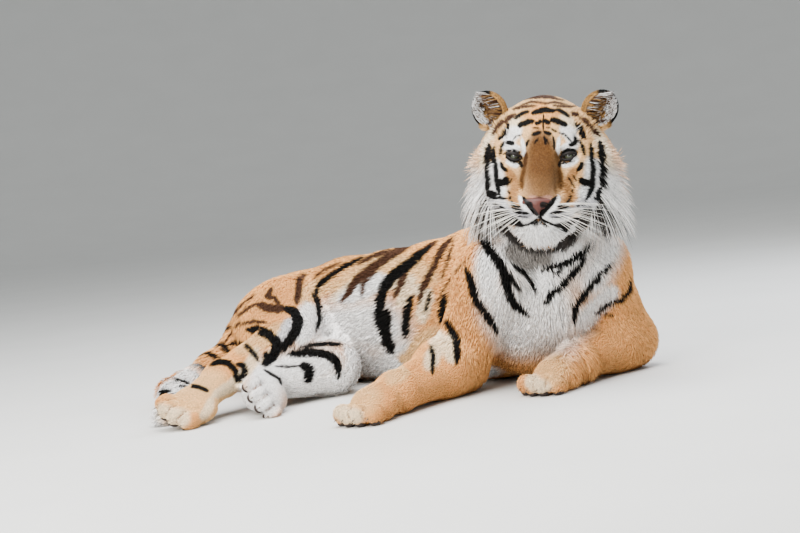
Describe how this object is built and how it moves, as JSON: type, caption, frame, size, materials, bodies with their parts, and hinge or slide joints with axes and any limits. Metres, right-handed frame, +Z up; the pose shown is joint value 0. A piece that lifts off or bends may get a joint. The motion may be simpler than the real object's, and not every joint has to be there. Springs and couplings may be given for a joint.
{
  "type": "siberian tiger",
  "caption": "Life-size still model of a resting Siberian tiger, chest and forelegs on the floor, head raised, hips rolled to one side.",
  "frame": {"origin": "the middle of the bounding box's footprint, on the floor that the tiger rests on", "axes": "+Z up, -Y the way the tiger looks, +X to its left; its hips and tail lie towards -X"},
  "size_m": [1.2986, 1.1732, 0.7237],
  "materials": {
    "coat": "matt striped fur",
    "nose_leather": "damp pink leather with a dark edge",
    "eye": "polished",
    "whisker": "satin hair",
    "claw": "horn"
  },
  "bodies": {
    "root": {"right_thigh": "coat", "right_shank": "coat", "right_hind_paw": "coat", "right_upper_arm": "coat", "right_forearm": "coat", "right_fore_paw": "coat", "left_thigh": "coat", "left_shank": "coat", "left_hind_paw": "coat", "left_upper_arm": "coat", "left_forearm": "coat", "left_fore_paw": "coat", "head": "coat", "right_eye": "eye", "left_eye": "eye", "nose": "nose_leather", "right_ear": "coat", "right_cheek_ruff": "coat", "left_ear": "coat", "left_cheek_ruff": "coat", "neck": "coat", "chest": "coat", "loin": "coat", "hips": "coat", "tail_base": "coat", "tail_end": "coat"}
  },
  "joints": []
}
